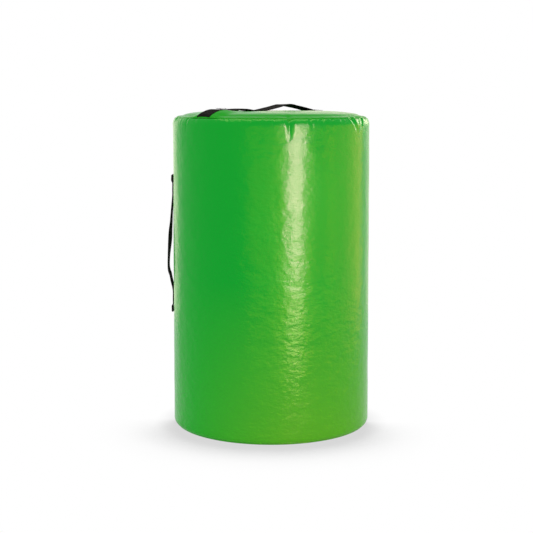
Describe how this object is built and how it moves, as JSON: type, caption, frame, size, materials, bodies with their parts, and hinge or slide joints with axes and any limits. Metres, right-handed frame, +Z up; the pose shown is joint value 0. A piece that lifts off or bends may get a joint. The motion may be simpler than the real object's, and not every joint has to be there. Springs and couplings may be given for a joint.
{
  "type": "tackling bag",
  "caption": "Upright foam-filled tackling bag in a coated fabric cover, with webbing hand loops on the crown and side and a zip low at the back.",
  "frame": {"origin": "centre of the base panel's underside, where the bag stands on the ground", "axes": "+Z up along the bag's axis to the crown, -Y to the side away from the zip, -X to the side handle"},
  "size_m": [0.4693, 0.4568, 0.7436],
  "materials": {
    "cover_cloth": "satin PVC-coated fabric",
    "lining_cloth": "satin PVC-coated fabric",
    "webbing": "woven webbing",
    "thread": "bonded thread",
    "zip_tape": "woven tape",
    "zip_coil": "nylon coil",
    "zip_metal": "satin metal",
    "core_foam": "open-cell foam",
    "wrap_foam": "open-cell foam",
    "pad_foam": "open-cell foam"
  },
  "bodies": {
    "bag": {"side_panel": "cover_cloth", "foot_band": "cover_cloth", "top_panel": "cover_cloth", "base_panel": "cover_cloth", "zip_tab_right": "cover_cloth", "zip_tab_left": "cover_cloth", "side_patch_upper": "lining_cloth", "side_patch_lower": "lining_cloth", "top_doubler": "lining_cloth", "top_handle": "webbing", "side_handle": "webbing", "top_stitch_front": "thread", "top_stitch_back": "thread", "side_stitch_upper": "thread", "side_stitch_lower": "thread", "top_seam_thread": "thread", "base_seam_thread": "thread", "back_seam_thread": "thread", "zip_thread_upper": "thread", "zip_thread_lower": "thread", "zip_tape_upper": "zip_tape", "zip_tape_lower": "zip_tape", "zip_coil_upper": "zip_coil", "zip_coil_lower": "zip_coil", "zip_top_clip_upper": "zip_metal", "zip_top_clip_lower": "zip_metal", "zip_end_clip": "zip_metal", "foam_core": "core_foam", "foam_wrap": "wrap_foam", "foam_base_pad": "pad_foam", "foam_top_pad": "pad_foam"},
    "slider": {"zip_slider": "zip_metal"},
    "puller": {"zip_puller": "zip_metal"}
  },
  "joints": [
    {"name": "zip_travel", "type": "hinge", "parent": "bag", "child": "slider", "pos_m": [0, 0, 0.075], "axis": [0, 0, 1], "range_deg": [0, 132], "deforming": ["zip_coil_upper", "zip_coil_lower"]},
    {"name": "puller_swing", "type": "hinge", "parent": "slider", "child": "puller", "pos_m": [0.21288, 0.08818, 0.075], "axis": [0, 0, -1], "range_deg": [0, 150]}
  ]
}
